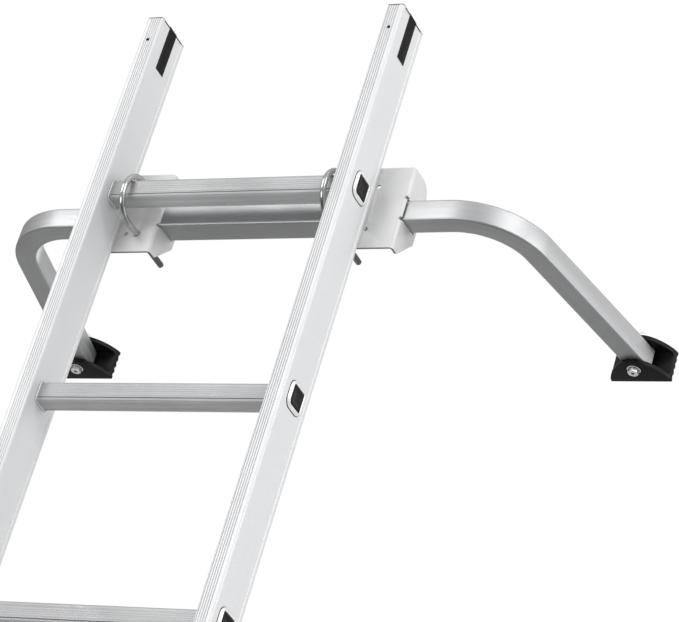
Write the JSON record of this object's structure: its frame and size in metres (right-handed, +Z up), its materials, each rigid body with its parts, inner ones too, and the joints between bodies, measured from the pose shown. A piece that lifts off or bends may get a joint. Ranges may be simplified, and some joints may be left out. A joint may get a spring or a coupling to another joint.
{
  "type": "extension ladder",
  "caption": "Aluminium extension ladder with box rails, flared square rungs, rung locks, swivelling shoes and a U-bolted wall stand-off with pivoting rubber pads.",
  "frame": {"origin": "On the floor under the middle of the outline; the ladder stands upright on its shoes.", "axes": "+Z up the rails; +Y towards the wall, the way the stand-off arms reach; -Y is the climbing side; +X to the climber's right."},
  "size_m": [0.9188, 0.4302, 3.6178],
  "materials": {
    "rail_aluminium": "extruded, satin, fine drawn lines along the rail",
    "rung_aluminium": "extruded, fine ribs along the rung",
    "black_plastic": "moulded, satin",
    "nylon": "moulded, slightly rough",
    "rubber": "moulded black rubber",
    "tube_aluminium": "mill finish with drawn lines",
    "galvanised_plate": "zinc plated sheet, bright at the bends",
    "sheet_steel": "zinc plated sheet",
    "hook_steel": "zinc plated, worn at the notch",
    "shoe_aluminium": "pressed, satin",
    "plated_steel": "bright plated rod and nuts",
    "fastener_steel": "zinc plated"
  },
  "bodies": {
    "base": {"base_rail_left": "rail_aluminium", "base_rail_right": "rail_aluminium", "base_rung_1": "rung_aluminium", "base_rung_2": "rung_aluminium", "base_rung_3": "rung_aluminium", "base_rung_4": "rung_aluminium", "base_rung_5": "rung_aluminium", "base_rung_6": "rung_aluminium", "base_rung_7": "rung_aluminium", "base_rung_8": "rung_aluminium", "base_rung_plugs": "black_plastic", "base_cap_left": "black_plastic", "base_cap_right": "black_plastic", "base_guide_left": "sheet_steel", "base_guide_right": "sheet_steel", "guide_blocks": "nylon", "base_rivets": "fastener_steel", "shoe_bolts": "fastener_steel", "shoe_nuts": "fastener_steel"},
    "fly": {"fly_rail_left": "rail_aluminium", "fly_rail_right": "rail_aluminium", "fly_rung_1": "rung_aluminium", "fly_rung_2": "rung_aluminium", "fly_rung_3": "rung_aluminium", "fly_rung_4": "rung_aluminium", "fly_rung_5": "rung_aluminium", "fly_rung_6": "rung_aluminium", "fly_rung_7": "rung_aluminium", "fly_rung_8": "rung_aluminium", "fly_rung_plugs": "black_plastic", "fly_cap_left": "black_plastic", "fly_cap_right": "black_plastic", "fly_guide_left": "sheet_steel", "fly_guide_right": "sheet_steel", "fly_rivets": "fastener_steel", "lock_bracket_left": "sheet_steel", "lock_bracket_right": "sheet_steel", "lock_pins": "fastener_steel", "stabilizer_tube": "tube_aluminium", "stabilizer_arm_left": "tube_aluminium", "stabilizer_arm_right": "tube_aluminium", "clamp_bracket_left": "galvanised_plate", "clamp_bracket_right": "galvanised_plate", "u_bolt_left": "plated_steel", "u_bolt_right": "plated_steel", "u_bolt_washers": "plated_steel", "u_bolt_nuts": "plated_steel", "pad_bolts": "fastener_steel", "pad_nuts": "fastener_steel", "arm_bolts": "fastener_steel", "arm_nuts": "fastener_steel"},
    "hook_left": {"lock_hook_left": "hook_steel"},
    "hook_right": {"lock_hook_right": "hook_steel"},
    "foot_left": {"shoe_left": "shoe_aluminium", "shoe_pad_left": "rubber"},
    "foot_right": {"shoe_right": "shoe_aluminium", "shoe_pad_right": "rubber"},
    "pad_left": {"wall_pad_left": "rubber"},
    "pad_right": {"wall_pad_right": "rubber"}
  },
  "joints": [
    {"name": "fly_slide", "type": "slide", "parent": "base", "child": "fly", "axis": [0, 0, 1], "range_m": [-0.6096, 0.3048]},
    {"name": "lock_left", "type": "hinge", "parent": "fly", "child": "hook_left", "pos_m": [-0.1573, -0.16714, 1.2532], "axis": [1, 0, 0], "range_deg": [-90, 0]},
    {"name": "lock_right", "type": "hinge", "parent": "fly", "child": "hook_right", "pos_m": [0.1573, -0.16714, 1.2532], "axis": [1, 0, 0], "range_deg": [-90, 0]},
    {"name": "shoe_left_pivot", "type": "hinge", "parent": "base", "child": "foot_left", "pos_m": [-0.2015, -0.11164, 0.072], "axis": [1, 0, 0], "range_deg": [-40, 75]},
    {"name": "shoe_right_pivot", "type": "hinge", "parent": "base", "child": "foot_right", "pos_m": [0.2015, -0.11164, 0.072], "axis": [1, 0, 0], "range_deg": [-40, 75]},
    {"name": "pad_left_pivot", "type": "hinge", "parent": "fly", "child": "pad_left", "pos_m": [-0.40786, 0.18514, 3.3468], "axis": [0, 0, 1], "range_deg": [-15, 15]},
    {"name": "pad_right_pivot", "type": "hinge", "parent": "fly", "child": "pad_right", "pos_m": [0.42786, 0.18514, 3.3468], "axis": [0, 0, 1], "range_deg": [-15, 15]}
  ]
}
